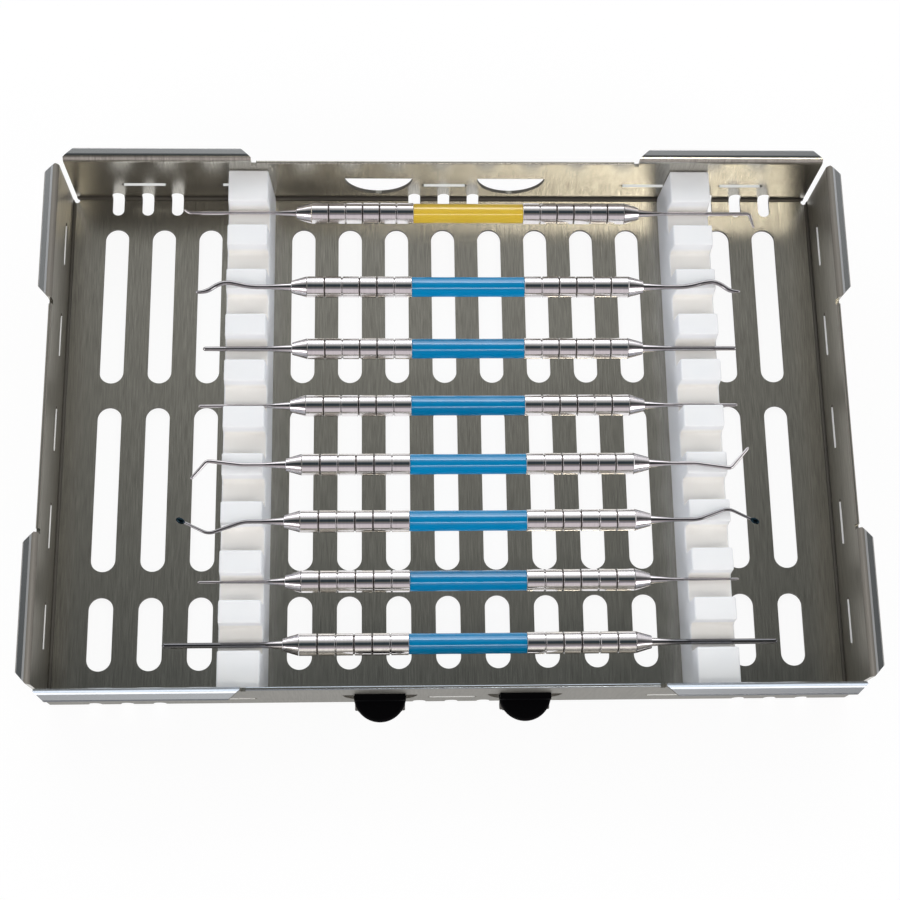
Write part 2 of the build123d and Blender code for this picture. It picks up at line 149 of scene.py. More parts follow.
edge = add_node(sky, "MapRange", {"interpolation_type": "SMOOTHSTEP"},
                {"Value": across.outputs[0], "From Min": ceiling_half_width - ceiling_softness,
                 "From Max": ceiling_half_width + ceiling_softness, "To Min": 0.0, "To Max": 1.0})
within = add_node(sky, "Math", {"operation": "SUBTRACT"}, {0: 1.0, 1: edge.outputs[0]})
over = add_node(sky, "Math", {"operation": "LESS_THAN"}, {0: along.outputs[0], 1: ceiling_reach})
ceiling_share = add_node(sky, "Math", {"operation": "MULTIPLY"},
                         {0: over.outputs[0], 1: within.outputs[0]})
surroundings = add_node(sky, "Mix", {"data_type": "RGBA"},
                        {"Factor": ceiling_share.outputs[0], 6: room.outputs[2],
                         7: ceiling.outputs[0]})
looked_at = add_node(sky, "LightPath", {}, {})
backdrop = add_node(sky, "Mix", {"data_type": "RGBA"},
                    {"Factor": looked_at.outputs["Is Camera Ray"], 6: surroundings.outputs[2],
                     7: white})
glow = add_node(sky, "Background", {}, {"Color": backdrop.outputs[2], "Strength": 1.0})
add_node(sky, "OutputWorld", {}, {"Surface": glow.outputs[0]})

table_half = table_size / 2
table_mesh = bpy.data.meshes.new("table_top")
table_mesh.from_pydata([(x * table_half, y * table_half, -table_drop)
                        for x, y in ((-1, -1), (1, -1), (1, 1), (-1, 1))], [], [(0, 1, 2, 3)])
table = bpy.data.objects.new("table_top", table_mesh)
scene.collection.objects.link(table)

# White paper. The eye, the steel and the gloss see it white, apart from the object's soft shadow.
paper = bpy.data.materials.new("white_paper_table")
paper.use_nodes = True
tree = paper.node_tree
tree.nodes.clear()
ray = add_node(tree, "LightPath", {}, {})
seen = ray.outputs["Is Camera Ray"]
for ray_kind in ("Is Glossy Ray", "Is Transmission Ray"):
    either = add_node(tree, "Math", {"operation": "MAXIMUM"}, {0: seen, 1: ray.outputs[ray_kind]})
    seen = either.outputs[0]
white_share = add_node(tree, "Math", {"operation": "MULTIPLY"}, {0: seen, 1: 1.0 - shadow_share})
shaded = add_node(tree, "BsdfDiffuse", {}, {"Color": linear(table_colour)})
bright = add_node(tree, "Emission", {}, {"Color": white, "Strength": table_glow})
mixed = add_node(tree, "MixShader", {},
                 {0: white_share.outputs[0], 1: shaded.outputs[0], 2: bright.outputs[0]})
add_node(tree, "OutputMaterial", {}, {"Surface": mixed.outputs[0]})
table_mesh.materials.append(paper)


def soft_box(name, place, size, radiance, hex_colour):
    """A rectangular lamp turned to the origin. Its power is radiance x pi x area."""
    lamp = bpy.data.lights.new(name, "AREA")
    lamp.shape = "RECTANGLE"
    lamp.size, lamp.size_y = size
    lamp.energy = radiance * math.pi * size[0] * size[1]
    lamp.color = linear(hex_colour)[:3]
    holder = bpy.data.objects.new(name, lamp)
    scene.collection.objects.link(holder)
    away = 0.0 - np.array(place)
    pitch = math.acos(-away[2] / np.linalg.norm(away))
    holder.location = place
    holder.rotation_euler = Euler((pitch, 0.0, math.atan2(-away[0], away[1])))
    return holder


for panel in panels:
    soft_box(*panel)
strip_light = bpy.data.collections.new("lit_by_front_strips")   # a flag keeps them off the rest
strip_light.objects.link(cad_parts["tray"])
for strip in front_strips:
    soft_box(*strip).light_linking.receiver_collection = strip_light

lens = bpy.data.cameras.new("camera")
lens.lens = camera_lens
lens.sensor_width = camera_sensor
lens.clip_start = camera_near
camera = bpy.data.objects.new("camera", lens)
camera.location = camera_place
camera.rotation_euler = camera_turn
scene.collection.objects.link(camera)
scene.camera = camera
scene.view_settings.view_transform = "Standard"

# ---------------------------------------------------------------- tray
# Folded from one sheet of satin stainless steel, brushed from front to back before it was bent.
# The grain runs along Y on the floor and the side walls, and up the front and back walls.
steel_dark = "#98958e"
steel_light = "#cac7be"
steel_smudge = "#b1aea5"
smudge_share = 0.6                  # how far a smudge can even out the grain's two tones
smudge_size = 45 * mm
grain_width = 0.30 * mm             # coarser than real brushing, so that it shows at this distance
grain_length = 7 * mm
grain_spread = (0.3, 0.7)           # the part of the noise that runs from dark to light
grain_height = 0.01 * mm
grain_strength = 0.15
steel_roughness = (0.22, 0.27)
side_wall_dulling = 0.15            # the side walls are duller, brushed across their bends
fold_shade_tone = "#5c5953"               # painted shade on the front and back bends and on the slots' cut edges
side_fold_shade_tone = "#8b8780"          # painted shade on the bends along both sides
fold_dulling = 0.25
cut_highlight_tone = "#f2f3f2"                # painted highlight along the lower edge of a vent slot
cut_dulling = 0.4
flange_reflection_tone = "#bbbdbf"             # painted bluish reflection on the flat flanges
crest_reflection_tone = "#a3aab2"              # painted bluish reflection on the bend below the front flanges
outside_shade_tone = "#6f6e6a"            # painted shade on the front wall's outer face; handling has dulled its shine
outside_shade_share = 0.72
outside_dulling = 0.30
front_lean = 0.25                   # the front flanges' shading normals lean back a little: tangent of the angle

flat_measure = 0.985                # x^4 + y^4 + z^4 of a normal is 1 on a flat face
side_wall_facing = 0.7              # |x| of the normal on a side wall is more than this
side_bend_facing = 0.15             # and more than this on a bend along the sides
side_bend_place = 109 * mm          # |x| beyond which a bend belongs to the sides
floor_bend_top = 15 * mm            # height below which a bend belongs to the floor
window_front = -72 * mm             # the rounded windows of the front wall lie beyond this y
window_bottom = 4 * mm              # and above this height
standing = 0.5                      # z of the normal is less than this on a standing face
lying = 0.95                        # and more than this on a level one
sheet_top = 1.15 * mm               # just above the floor sheet
cut_level = (8.6 * mm, 9.7 * mm)    # heights round the lower edges of the vent slots
flange_level = 25.5 * mm            # the flanges are above this height
crest_level = 22 * mm               # and the bends below them above this one
front_facing = -0.7                 # y of the normal on a face that looks to the front
front_place = -73.5 * mm            # y of the front wall's outer face and of all before it


def new_material(name, **surface):
    """A material with one Principled shader. The shader's constant inputs are set by name."""
    material = bpy.data.materials.new(name)
    material.use_nodes = True
    shader = material.node_tree.nodes["Principled BSDF"]
    for socket, value in surface.items():
        shader.inputs[socket.replace("_", " ")].default_value = value
    return material, material.node_tree, shader


def dress(node_name, material):
    """Put a material in every slot of a CAD node's object."""
    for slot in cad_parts[node_name].material_slots:
        slot.material = material


# Satin stainless steel: a soft mirror with fine streaks along the grain, duller along its bends.
# Painted shade darkens the bends, the slots' cut edges and the front wall's outer face; painted
# reflections brighten the flanges and the front bends; a painted highlight lies along the vent
# slots.
satin, tree, shader = new_material("satin_stainless_sheet", Metallic=1.0)
place = add_node(tree, "TexCoord", {}, {})
spot = add_node(tree, "SeparateXYZ", {}, {0: place.outputs["Object"]})
facing = add_node(tree, "NewGeometry", {}, {})
facing_parts = add_node(tree, "SeparateXYZ", {}, {0: facing.outputs["Normal"]})
squared = add_node(tree, "VectorMath", {"operation": "MULTIPLY"},
                   {0: facing.outputs["Normal"], 1: facing.outputs["Normal"]})
fourth = add_node(tree, "VectorMath", {"operation": "DOT_PRODUCT"},
                  {0: squared.outputs[0], 1: squared.outputs[0]})

# Parts of the sheet. Each line gives a name, an operation and the two values that it works on. A
# name among the values stands for an earlier line's result. Most results are masks of 0 or 1.
parts = {"x": spot.outputs[0], "y": spot.outputs[1], "z": spot.outputs[2],
         "facing_x": facing_parts.outputs[0], "facing_y": facing_parts.outputs[1],
         "facing_z": facing_parts.outputs[2], "flatness": fourth.outputs["Value"]}
for name, operation, first, second in (
        ("sideways", "ABSOLUTE", "facing_x", 0.0),
        ("side_wall", "GREATER_THAN", "sideways", side_wall_facing),
        ("bent", "LESS_THAN", "flatness", flat_measure),
        ("beyond_window", "LESS_THAN", "y", window_front),
        ("above_sill", "GREATER_THAN", "z", window_bottom),
        ("window", "MULTIPLY", "beyond_window", "above_sill"),
        ("below_bend_top", "LESS_THAN", "z", floor_bend_top),
        ("low", "GREATER_THAN", "below_bend_top", "window"),
        ("floor_bend", "MULTIPLY", "bent", "low"),
        ("upright", "LESS_THAN", "facing_z", standing),
        ("in_sheet", "LESS_THAN", "z", sheet_top),
        ("slot_edge", "MULTIPLY", "upright", "in_sheet"),
        ("floor_fold", "MAXIMUM", "floor_bend", "slot_edge"),
        ("turned_out", "GREATER_THAN", "sideways", side_bend_facing),
        ("beside", "ABSOLUTE", "x", 0.0),
        ("far_out", "GREATER_THAN", "beside", side_bend_place),
        ("on_side", "MAXIMUM", "turned_out", "far_out"),
        ("side_fold", "MULTIPLY", "bent", "on_side"),
        ("any_fold", "MAXIMUM", "floor_fold", "side_fold"),
        ("level", "GREATER_THAN", "facing_z", lying),
        ("over_cut", "GREATER_THAN", "z", cut_level[0]),
        ("under_cut", "LESS_THAN", "z", cut_level[1]),
        ("at_cut", "MULTIPLY", "over_cut", "under_cut"),
        ("cut", "MULTIPLY", "level", "at_cut"),
        ("at_flange", "GREATER_THAN", "z", flange_level),
        ("flange", "MULTIPLY", "level", "at_flange"),
        ("at_crest", "GREATER_THAN", "z", crest_level),
        ("front_half", "LESS_THAN", "y", 0.0),
        ("front_crest", "MULTIPLY", "at_crest", "front_half"),
        ("crest", "MULTIPLY", "bent", "front_crest"),
        ("to_front", "LESS_THAN", "facing_y", front_facing),
        ("at_front", "LESS_THAN", "y", front_place),
        ("outside", "MULTIPLY", "to_front", "at_front"),
        ("painted_outside_shade", "MULTIPLY", "outside", outside_shade_share),
        ("front_flange", "MULTIPLY", "flange", "at_front"),
        ("lean", "MULTIPLY", "front_flange", front_lean)):
    parts[name] = add_node(tree, "Math", {"operation": operation},
                           {0: parts[first], 1: parts.get(second, second)}).outputs[0]

fine = 1 / grain_width
long = 1 / grain_length
flat_grain, side_grain = [
    add_node(tree, "Mapping", {"vector_type": "POINT"},
             {"Vector": place.outputs["Object"], "Scale": scale})
    for scale in ((fine, long, long), (long, long, fine))]
grain_place = add_node(tree, "Mix", {"data_type": "VECTOR"},
                       {"Factor": parts["side_wall"], 4: flat_grain.outputs[0],
                        5: side_grain.outputs[0]})
grain = add_node(tree, "TexNoise", {}, {"Vector": grain_place.outputs[1], "Scale": 1.0,
                                        "Detail": 3.0, "Roughness": 0.6})
smudge = add_node(tree, "TexNoise", {}, {"Vector": place.outputs["Object"],
                                         "Scale": 1 / smudge_size, "Detail": 2.0})
streak = add_node(tree, "MapRange", {}, {"Value": grain.outputs["Fac"],
                                         "From Min": grain_spread[0], "From Max": grain_spread[1]})
tone = add_node(tree, "Mix", {"data_type": "RGBA"},
                {"Factor": streak.outputs[0], 6: linear(steel_dark), 7: linear(steel_light)})
smudged = add_node(tree, "Math", {"operation": "MULTIPLY"},
                   {0: smudge.outputs["Fac"], 1: smudge_share})
for mask, hue in ((smudged.outputs[0], steel_smudge), (parts["crest"], crest_reflection_tone),
                  (parts["side_fold"], side_fold_shade_tone), (parts["floor_fold"], fold_shade_tone),
                  (parts["cut"], cut_highlight_tone), (parts["flange"], flange_reflection_tone),
                  (parts["painted_outside_shade"], outside_shade_tone)):
    tone = add_node(tree, "Mix", {"data_type": "RGBA"},
                    {"Factor": mask, 6: tone.outputs[2], 7: linear(hue)})
tree.links.new(tone.outputs[2], shader.inputs["Base Color"])
dull = add_node(tree, "MapRange", {}, {"Value": smudge.outputs["Fac"],
                                       "To Min": steel_roughness[0], "To Max": steel_roughness[1]})
for mask, dulling in (("side_wall", side_wall_dulling), ("any_fold", fold_dulling),
                      ("outside", outside_dulling), ("cut", cut_dulling)):
    dull = add_node(tree, "Math", {"operation": "MULTIPLY_ADD"},
                    {0: parts[mask], 1: dulling, 2: dull.outputs[0]})
tree.links.new(dull.outputs[0], shader.inputs["Roughness"])
ridges = add_node(tree, "Bump", {}, {"Height": grain.outputs["Fac"], "Strength": grain_strength,
                                     "Distance": grain_height})
leaning = add_node(tree, "CombineXYZ", {}, {"Y": parts["lean"]})
turned_back = add_node(tree, "VectorMath", {"operation": "ADD"},
                       {0: ridges.outputs[0], 1: leaning.outputs[0]})
unit_normal = add_node(tree, "VectorMath", {"operation": "NORMALIZE"}, {0: turned_back.outputs[0]})
tree.links.new(unit_normal.outputs[0], shader.inputs["Normal"])
dress("tray", satin)

# ---------------------------------------------------------------- racks
# Two strips of white silicone, moulded in one piece with ten notches and with keys underneath that
# sit in the floor slots. The edges are softly rounded. The notch floors are painted warmer and
# lighter than the teeth, painted light that lifts the shade in the notches, and the flanks are
# painted a bluish shade.
rack_base_half = 6.75 * mm
rack_top_half = 5.65 * mm
rack_foot = 1.0 * mm                # the strip stands on the floor sheet, the keys go through it
rack_top = 20.0 * mm
rack_end_bevel = 1.4 * mm
rack_edge = 0.45 * mm               # rounding of every edge
rack_edge_segments = 3
rack_edge_angle = math.radians(40)  # an edge is rounded where its faces meet at more than this
rack_smooth_degrees = 30.0
notch_pitch = 13.63 * mm
notch_width = 7.3 * mm
notch_floor = 13.5 * mm
notch_corner = 1.0 * mm
notch_count = 10
notch_middle = 2.475 * mm           # middle of the row of notches
key_width = 6.7 * mm
key_rows = ((42.826, 48.1), (-12.724, 48.1), (-54.424, 20.4))   # mm: middle and length of a key
key_x = {"rack_left": -55.4 * mm, "rack_right": 68.35 * mm}
tooth_tones = ("#eef2f9", "#f5f8fe")
# painted bluish shade on the flanks, which face sideways
flank_shade_tone = "#e8edf4"
notch_light_tone = "#fffdf7"
notch_light_fade = (0.5 * mm, 4.5 * mm)     # heights over a notch's floor between which the painted notch light fades
cloud_size = 9 * mm
pit_size = 0.5 * mm                 # the mould's fine texture
pit_depth = 0.05 * mm
pit_strength = 0.12
silicone_scatter = 3 * mm           # how far light runs under the surface


def skin(name, points, rows_closed=False, shade=None):
    """Mesh through a grid of points, in rows of closed rings. Each four neighbours make a face.
    The first and last ring get an end face, unless the last row joins the first. The shade of each
    row, 0 to 1, is kept on its vertices: a material paints shade into grooves and dark reflections
    onto tips with it."""
    rows, columns = points.shape[:2]
    row, column = np.meshgrid(np.arange(rows if rows_closed else rows - 1), np.arange(columns),
                              indexing="ij")
    below, beside = (row + 1) % rows, (column + 1) % columns
    faces = np.stack([row * columns + column, row * columns + beside, below * columns + beside,
                      below * columns + column], axis=-1).reshape(-1, 4).tolist()
    if not rows_closed:
        faces.append(list(range(columns)))
        faces.append(list(range((rows - 1) * columns, rows * columns)))
    mesh = bpy.data.meshes.new(name)
    mesh.from_pydata(points.reshape(-1, 3).tolist(), [], faces)
    if shade is not None:
        kept = mesh.attributes.new("shade", "FLOAT", "POINT")
        kept.data.foreach_set("value", np.repeat(shade, columns))
    return mesh


def piece(name, meshes, material, body, nodes, sharp_degrees=40.0):
    """Join meshes into one finished piece with outward normals, which stands for CAD nodes."""
    whole = bmesh.new()
    for mesh in meshes:
        whole.from_mesh(mesh)
    bmesh.ops.recalc_face_normals(whole, faces=whole.faces)
    joined = bpy.data.meshes.new(name)
    whole.to_mesh(joined)
    whole.free()
    joined.shade_smooth()
    joined.set_sharp_from_angle(angle=math.radians(sharp_degrees))
    joined.materials.append(material)
    made = bpy.data.objects.new(name, joined)
    scene.collection.objects.link(made)
    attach(made, body)
    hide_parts(*nodes)
    return made


def rack_outline(back, front):
    """Side view of a rack as (y, z), from the back foot over the teeth to the front foot and back
    along the underside. A notch corner is a quarter circle: corner + radius x (cos a, sin a)."""
    turn = np.linspace(0, np.pi / 2, 5)
    outline = [(back - rack_end_bevel, rack_foot), (back, rack_foot + rack_end_bevel),
               (back, rack_top)]
    for index in range(notch_count):
        middle = notch_middle + ((notch_count - 1) / 2 - index) * notch_pitch
        rear, fore = middle + notch_width / 2, middle - notch_width / 2
        outline.append((rear, rack_top))
        outline += list(zip(rear - notch_corner + notch_corner * np.cos(turn),
                            notch_floor + notch_corner - notch_corner * np.sin(turn)))
        outline += list(zip(fore + notch_corner - notch_corner * np.sin(turn),
                            notch_floor + notch_corner - notch_corner * np.cos(turn)))
        outline.append((fore, rack_top))
    outline += [(front, rack_top), (front, rack_foot + rack_end_bevel),
                (front + rack_end_bevel, rack_foot)]
    return np.array(outline)


def rack_body(name, middle_x, outline):
    """The outline carried between two flanks that lean in: x = middle +- half width at height z."""
    y, z = outline.T
    half = np.interp(z, (rack_foot, rack_top), (rack_base_half, rack_top_half))
    flanks = [np.stack([middle_x + side * half, y, z], axis=-1) for side in (-1, 1)]
    return skin(name, np.array(flanks))


def rack_key(name, middle_x, middle_y, length):
    """A key under a rack: an outline of two half circles of the key's width, carried up Z."""
    turn = np.linspace(0, 2 * np.pi, 33)[:-1]
    x = middle_x + key_width / 2 * np.cos(turn)
    y = middle_y + key_width / 2 * np.sin(turn) + np.sign(np.sin(turn)) * (length - key_width) / 2
    rings = [np.stack([x, y, np.full_like(x, z)], axis=-1) for z in (0.0, rack_foot)]
    return skin(name, np.array(rings))


# Moulded silicone: light sinks in a few millimetres, which keeps the notches pale and soft.
silicone, tree, shader = new_material(
    "moulded_white_silicone", Roughness=0.45, IOR=1.41, Subsurface_Weight=0.6,
    Subsurface_Scale=silicone_scatter, Subsurface_Radius=(1.0, 1.0, 1.0))
place = add_node(tree, "TexCoord", {}, {})
spot = add_node(tree, "SeparateXYZ", {}, {0: place.outputs["Object"]})
# Painted light: the notch floors are painted warmer and lighter than the teeth.
above_notch_light = add_node(tree, "MapRange", {"interpolation_type": "SMOOTHSTEP"},
                {"Value": spot.outputs[2], "From Min": notch_floor + notch_light_fade[0],
                 "From Max": notch_floor + notch_light_fade[1], "To Min": 0.0, "To Max": 1.0})
cloudy = add_node(tree, "TexNoise", {}, {"Vector": place.outputs["Object"],
                                         "Scale": 1 / cloud_size, "Detail": 2.0})
facing = add_node(tree, "NewGeometry", {}, {})
facing_parts = add_node(tree, "SeparateXYZ", {}, {0: facing.outputs["Normal"]})
flank = add_node(tree, "Math", {"operation": "ABSOLUTE"}, {0: facing_parts.outputs[0]})
clean = add_node(tree, "Mix", {"data_type": "RGBA"},
                 {"Factor": cloudy.outputs["Fac"], 6: linear(tooth_tones[0]),
                  7: linear(tooth_tones[1])})
tooth = add_node(tree, "Mix", {"data_type": "RGBA"},
                 {"Factor": above_notch_light.outputs[0], 6: linear(notch_light_tone), 7: clean.outputs[2]})
whole_tone = add_node(tree, "Mix", {"data_type": "RGBA"},
                      {"Factor": flank.outputs[0], 6: tooth.outputs[2], 7: linear(flank_shade_tone)})
tree.links.new(whole_tone.outputs[2], shader.inputs["Base Color"])
moulding = add_node(tree, "TexNoise", {}, {"Vector": place.outputs["Object"],
                                           "Scale": 1 / pit_size})
pitted = add_node(tree, "Bump", {}, {"Height": moulding.outputs["Fac"], "Strength": pit_strength,
                                     "Distance": pit_depth})
tree.links.new(pitted.outputs[0], shader.inputs["Normal"])

for rack_name in ("rack_left", "rack_right"):
    low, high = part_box(rack_name)
    meshes = [rack_body(rack_name, (low.x + high.x) / 2, rack_outline(high.y, low.y))]
    for key_middle, key_length in key_rows:
        meshes.append(rack_key(rack_name, key_x[rack_name], key_middle * mm, key_length * mm))
    rack = piece("silicone_" + rack_name, meshes, silicone, "tray", [rack_name],
                 rack_smooth_degrees)
    rounding = rack.modifiers.new("rounded_edges", "BEVEL")
    rounding.width = rack_edge
    rounding.segments = rack_edge_segments
    rounding.limit_method = "ANGLE"
    rounding.angle_limit = rack_edge_angle
    rounding.harden_normals = True
    strip_light.objects.link(rack)

# ---------------------------------------------------------------- latches
# Half-round tabs moulded in black polymer, on small steel hinges welded inside the front wall.
# The polymer has the fine grain of a spark-eroded mould; brackets and pins are satin steel, which
# a tumbling drum has smoothed.
polymer_tones = ("#010102", "#060508")
polymer_roughness = (0.65, 0.85)
mould_grain_size = 0.4 * mm
mould_grain_depth = 0.05 * mm
mould_grain_strength = 0.3
hinge_tones = ("#565450", "#6e6c69")
hinge_roughness = (0.40, 0.55)
hinge_edge_tint = (0.4, 0.4, 0.4, 1.0)          # keeps its edges from flashing
tumbled_size = 1.2 * mm

# Black polymer: next to no shine, and a fine grain that shows only close by.
polymer, tree, shader = new_material("moulded_black_polymer", IOR=1.2, Specular_IOR_Level=0.3)
place = add_node(tree, "TexCoord", {}, {})
mould_grain = add_node(tree, "TexNoise", {}, {"Vector": place.outputs["Object"],
                                              "Scale": 1 / mould_grain_size, "Detail": 3.0})
black = add_node(tree, "Mix", {"data_type": "RGBA"},
                 {"Factor": mould_grain.outputs["Fac"], 6: linear(polymer_tones[0]),
                  7: linear(polymer_tones[1])})
tree.links.new(black.outputs[2], shader.inputs["Base Color"])
matt = add_node(tree, "MapRange", {}, {"Value": mould_grain.outputs["Fac"],
                                       "To Min": polymer_roughness[0],
                                       "To Max": polymer_roughness[1]})
tree.links.new(matt.outputs[0], shader.inputs["Roughness"])
rough = add_node(tree, "Bump", {}, {"Height": mould_grain.outputs["Fac"],
                                    "Strength": mould_grain_strength,
                                    "Distance": mould_grain_depth})
tree.links.new(rough.outputs[0], shader.inputs["Normal"])

# Satin steel from the drum: a dull grey sheen, a little blotchy.
hinge_steel, tree, shader = new_material("satin_hinge_steel", Metallic=1.0,
                                         Specular_Tint=hinge_edge_tint)
place = add_node(tree, "TexCoord", {}, {})
tumbled = add_node(tree, "TexNoise", {}, {"Vector": place.outputs["Object"],
                                          "Scale": 1 / tumbled_size, "Detail": 3.0})
hinge_tone = add_node(tree, "Mix", {"data_type": "RGBA"},
                      {"Factor": tumbled.outputs["Fac"], 6: linear(hinge_tones[0]),
                       7: linear(hinge_tones[1])})
tree.links.new(hinge_tone.outputs[2], shader.inputs["Base Color"])
hinge_dull = add_node(tree, "MapRange", {}, {"Value": tumbled.outputs["Fac"],
                                             "To Min": hinge_roughness[0],
                                             "To Max": hinge_roughness[1]})
tree.links.new(hinge_dull.outputs[0], shader.inputs["Roughness"])
for side in ("left", "right"):
    dress(f"latch_tab_{side}", polymer)
    dress(f"latch_bracket_{side}", hinge_steel)
    dress(f"latch_pin_{side}", hinge_steel)

# ---------------------------------------------------------------- handles
# Turned from stainless bar and polished: two grips with five ring grooves each, a thinner core for
# the coloured sleeve between them, and a bore in each end for the tang of a tip.
instrument_count = 8
segment_length = 4.9 * mm
groove_width = 0.42 * mm
groove_depth = 0.35 * mm
groove_edge = 0.07 * mm             # small chamfer on both edges of a groove
groove_painted_shade = (1.0, 0.45, 1.0, 1.0, 0.45)       # painted shade in each groove, from the cone inwards
sleeve_length = 31.9 * mm
core_radius = 2.0 * mm
socket_radius = 1.27 * mm
socket_depth = 9.0 * mm
turn_steps = 72                     # points round a handle or a sleeve
ring_width = 0.25 * mm              # coarser than real turning rings, so that they show
ring_swing = 12.0                   # scale of the rings' noise along Y and Z, per metre
ring_height = 0.01 * mm
ring_strength = 0.1


def turned(name, middle, profile, closed):
    """Surface of revolution about a line along X: (x, r) becomes middle + (x, r cos a, r sin a)."""
    angle = np.linspace(0, 2 * np.pi, turn_steps, endpoint=False)
    x, r, shade = np.array(profile).T[:, :, None]
    grid = np.stack([np.broadcast_to(x, (len(x), turn_steps)), r * np.cos(angle),
                     r * np.sin(angle)], axis=-1)
    return skin(name, grid + np.array(middle), rows_closed=closed, shade=shade[:, 0])


def handle_profile(half, radius):
    """Profile (x, r, shade) of a handle, from the bottom of one bore over the grips to the other's.
    The right half is the left half with x reversed."""
    # Shade 1 paints shade into the bore's bottom and onto the core under the sleeve.
    outer = [(-half + socket_depth, socket_radius, 1), (-half, socket_radius, 0),
             (-half, radius - groove_edge, 0), (-half + groove_edge, radius, 0)]
    wall = groove_width / 2
    chamfer, bottom = radius - groove_edge, radius - groove_depth
    for number, painted_dark in enumerate(groove_painted_shade, start=1):
        groove = -half + number * segment_length
        outer += [(groove - wall - groove_edge, radius, 0), (groove - wall, chamfer, painted_dark),
                  (groove - wall, bottom, painted_dark), (groove + wall, bottom, painted_dark),
                  (groove + wall, chamfer, painted_dark), (groove + wall + groove_edge, radius, 0)]
    outer += [(-sleeve_length / 2 - groove_edge, radius, 0), (-sleeve_length / 2, chamfer, 0),
              (-sleeve_length / 2, core_radius, 1)]
    return outer + [(-x, r, shade) for x, r, shade in reversed(outer)]


def steel_surface(name, dark, light, painted_dark, shine, width):
    """Polished steel with faint rings of a width: a noise that changes along X alone, and a painted
    dark tone where the shade is deep: painted shade in the grips' grooves, painted dark
    reflections on the tips."""
    material, tree, shader = new_material(name, Metallic=1.0)
    place = add_node(tree, "TexCoord", {}, {})
    squeezed = add_node(tree, "Mapping", {}, {"Vector": place.outputs["Object"],
                                              "Scale": (1 / width, ring_swing, ring_swing)})
    rings = add_node(tree, "TexNoise", {}, {"Vector": squeezed.outputs[0], "Scale": 1.0,
                                            "Detail": 2.0})
    tone = add_node(tree, "Mix", {"data_type": "RGBA"},
                    {"Factor": rings.outputs["Fac"], 6: linear(dark), 7: linear(light)})
    shade = add_node(tree, "Attribute", {"attribute_name": "shade"}, {})
    darkened_tone = add_node(tree, "Mix", {"data_type": "RGBA"},
                      {"Factor": shade.outputs["Fac"], 6: tone.outputs[2], 7: linear(painted_dark)})
    tree.links.new(darkened_tone.outputs[2], shader.inputs["Base Color"])
    gloss = add_node(tree, "MapRange", {}, {"Value": rings.outputs["Fac"], "To Min": shine[0],
                                            "To Max": shine[1]})
    tree.links.new(gloss.outputs[0], shader.inputs["Roughness"])
    ripple = add_node(tree, "Bump", {}, {"Height": rings.outputs["Fac"], "Strength": ring_strength,
                                         "Distance": ring_height})
    tree.links.new(ripple.outputs[0], shader.inputs["Normal"])
    return material


# Polished stainless: a sharp mirror with faint turning rings and painted shade in the grooves.
grip_steel = steel_surface("polished_grip_steel", "#e2dee0", "#f8f5f6", "#67605e", (0.10, 0.16),
                           ring_width)
for number in range(1, instrument_count + 1):
    low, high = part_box(f"handle_{number}")
    middle = (low + high) / 2
    half = (high.x - low.x) / 2
    radius = (high.z - low.z) / 2
    shell = turned("grip", middle, handle_profile(half, radius), False)
    grip = piece(f"grooved_handle_{number}", [shell], grip_steel, f"instrument_{number}",
                 [f"handle_{number}"])
    grip.visible_glossy = False     # the satin tray is too dull to mirror a thin rod

# ---------------------------------------------------------------- sleeves
# A coloured sleeve on the middle of each handle, moulded in polymer under a hard clear lacquer: one
# yellow, seven blue. The colour marks the instrument's use. Two strip lamps are set for it alone.
sleeve_rim = 0.22 * mm              # rounding of both ends
rim_turn = np.linspace(0, np.pi / 2, 5)
lacquer_cloud = 6 * mm
shaded_mirror_normals = (-0.62, -0.52)    # below these normal y values the mirror is painted weak, as if a black flag stood in front
shaded_mirror_level = 0.05
open_level = 0.5
sleeve_strips = (                   # name, place, size, radiance and colour
    ("sleeve_band_strip", (0.07, 0.81, 1.00), (0.80, 0.36), 4.4, "#ffffff"),
    ("sleeve_line_strip", (0.07, -0.74, 1.10), (0.80, 0.22), 4.2, "#ffffff"),
)


def sleeve_profile(half, inner, outer):
    """Closed profile (x, r, shade): a tube wall whose outer edges are quarter circles of the rim
    radius, rim centre + radius x (sin a, cos a)."""
    x = half - sleeve_rim + sleeve_rim * np.sin(rim_turn)
    r = outer - sleeve_rim + sleeve_rim * np.cos(rim_turn)
    right = [(a, b, 0) for a, b in zip(x, r)] + [(half, inner, 0)]
    return [(-a, b, shade) for a, b, shade in reversed(right)] + right


def lacquered(name, deep, bright):
    """Coloured polymer under clear lacquer, slightly cloudy along its length. It mirrors the lamps
    as sharp lines. Its mirror is painted weak where it faces the front: a painted shade on the
    reflection of the room there, as if a black flag stood in front."""
    material, tree, shader = new_material(name, Roughness=0.09, IOR=1.65)
    place = add_node(tree, "TexCoord", {}, {})
    cloud = add_node(tree, "TexNoise", {}, {"Vector": place.outputs["Object"],
                                            "Scale": 1 / lacquer_cloud, "Detail": 2.0})
    tone = add_node(tree, "Mix", {"data_type": "RGBA"},
                    {"Factor": cloud.outputs["Fac"], 6: linear(deep), 7: linear(bright)})
    tree.links.new(tone.outputs[2], shader.inputs["Base Color"])
    facing = add_node(tree, "NewGeometry", {}, {})
    facing_parts = add_node(tree, "SeparateXYZ", {}, {0: facing.outputs["Normal"]})
    mirrored = add_node(tree, "MapRange", {}, {"Value": facing_parts.outputs[1],
                                               "From Min": shaded_mirror_normals[0],
                                               "From Max": shaded_mirror_normals[1],
                                               "To Min": shaded_mirror_level, "To Max": open_level})
    tree.links.new(mirrored.outputs[0], shader.inputs["Specular IOR Level"])
    return material


